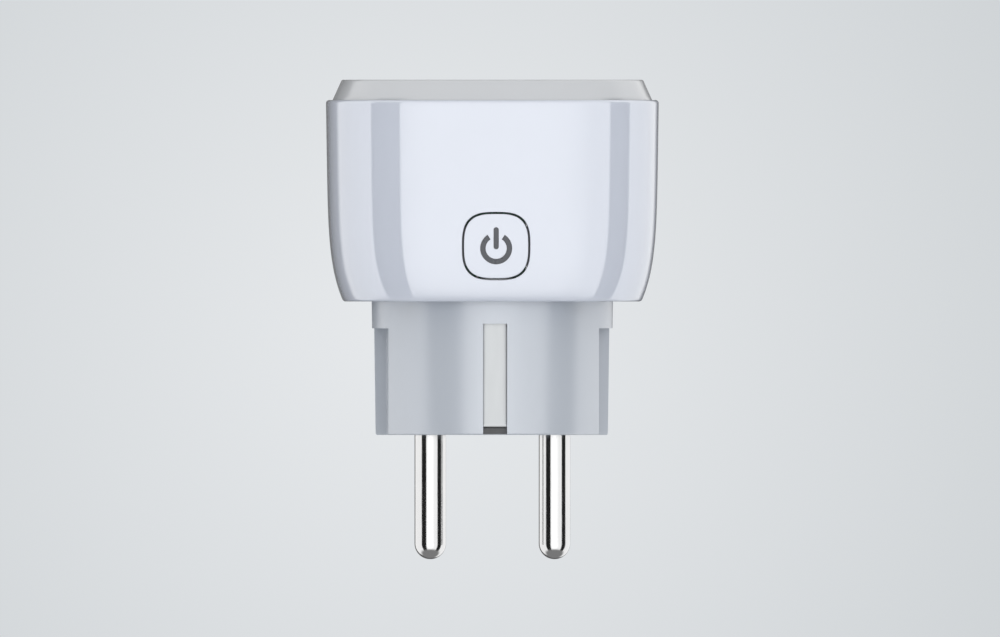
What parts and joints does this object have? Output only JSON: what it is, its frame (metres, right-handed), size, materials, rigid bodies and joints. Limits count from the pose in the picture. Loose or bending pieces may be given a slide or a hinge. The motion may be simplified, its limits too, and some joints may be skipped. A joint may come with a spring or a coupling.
{
  "type": "smart plug",
  "caption": "Plug-in mains adapter: round earthed plug below, rounded-square body with a front power button, recessed shuttered socket on top.",
  "frame": {"origin": "centre of the plug face, on its surface, midway between the two pins", "axes": "+Z from the plug towards the socket, pins side by side along X, power button on the -Y side"},
  "size_m": [0.0508, 0.0508, 0.0733],
  "materials": {
    "gloss_shell": "glossy moulded white",
    "socket_plastic": "satin light grey-white",
    "symbol_plastic": "smoked translucent plastic, unlit",
    "pin_chrome": "bright nickel plating",
    "earth_steel": "bright spring steel",
    "screw_steel": "zinc-plated steel",
    "contact_brass": "plain brass and phosphor bronze",
    "winding_copper": "enamelled copper wire",
    "carrier_plastic": "natural heat-resistant plastic",
    "board_green": "green solder mask",
    "component_black": "black moulded case",
    "film_yellow": "yellow case and tape",
    "varistor_blue": "blue dipped coating",
    "ferrite_grey": "ferrite",
    "led_white": "clear package"
  },
  "bodies": {
    "housing": {"board_header": "component_black", "body_shell": "gloss_shell", "bridge_rectifier": "component_black", "bulk_capacitor": "component_black", "case_screw_1": "screw_steel", "case_screw_2": "screw_steel", "case_screw_3": "screw_steel", "case_screw_4": "screw_steel", "control_board": "board_green", "current_shunt": "contact_brass", "earth_crossbar": "earth_steel", "earth_pin_sleeve": "contact_brass", "earth_sleeve_lug": "contact_brass", "film_capacitor": "film_yellow", "filter_inductor": "winding_copper", "fuse": "contact_brass", "live_busbar": "contact_brass", "live_contact": "contact_brass", "live_pin": "pin_chrome", "metering_chip": "component_black", "neutral_busbar": "contact_brass", "neutral_contact": "contact_brass", "neutral_pin": "pin_chrome", "output_capacitor_1": "component_black", "output_capacitor_2": "component_black", "pin_clamp": "carrier_plastic", "plug_base": "gloss_shell", "plug_earth_strip_back": "earth_steel", "plug_earth_strip_front": "earth_steel", "power_board": "board_green", "relay_base": "component_black", "relay_case": "component_black", "relay_coil": "winding_copper", "shutter_retainer": "carrier_plastic", "shutter_screw_1": "screw_steel", "shutter_screw_2": "screw_steel", "shutter_spring": "earth_steel", "socket_earth_clip_back": "earth_steel", "socket_earth_clip_front": "earth_steel", "socket_insert": "socket_plastic", "status_led": "led_white", "strip_foot_back": "component_black", "strip_foot_front": "component_black", "tact_switch": "component_black", "transformer_core": "ferrite_grey", "transformer_winding": "film_yellow", "varistor": "varistor_blue", "wifi_shield": "earth_steel"},
    "button": {"power_button": "gloss_shell", "symbol_light_guide": "symbol_plastic", "tact_plunger": "carrier_plastic"},
    "shutter_plate": {"shutter": "carrier_plastic"}
  },
  "joints": [
    {"name": "button_press", "type": "slide", "parent": "housing", "child": "button", "axis": [0, 1, 0], "range_m": [0, 0.0004], "stiffness_N_per_m": 1500},
    {"name": "shutter_turn", "type": "hinge", "parent": "housing", "child": "shutter_plate", "pos_m": [0, 0, 0.03415], "axis": [0, 0, 1], "range_deg": [0, 38], "stiffness_Nm_per_rad": 0.004}
  ]
}
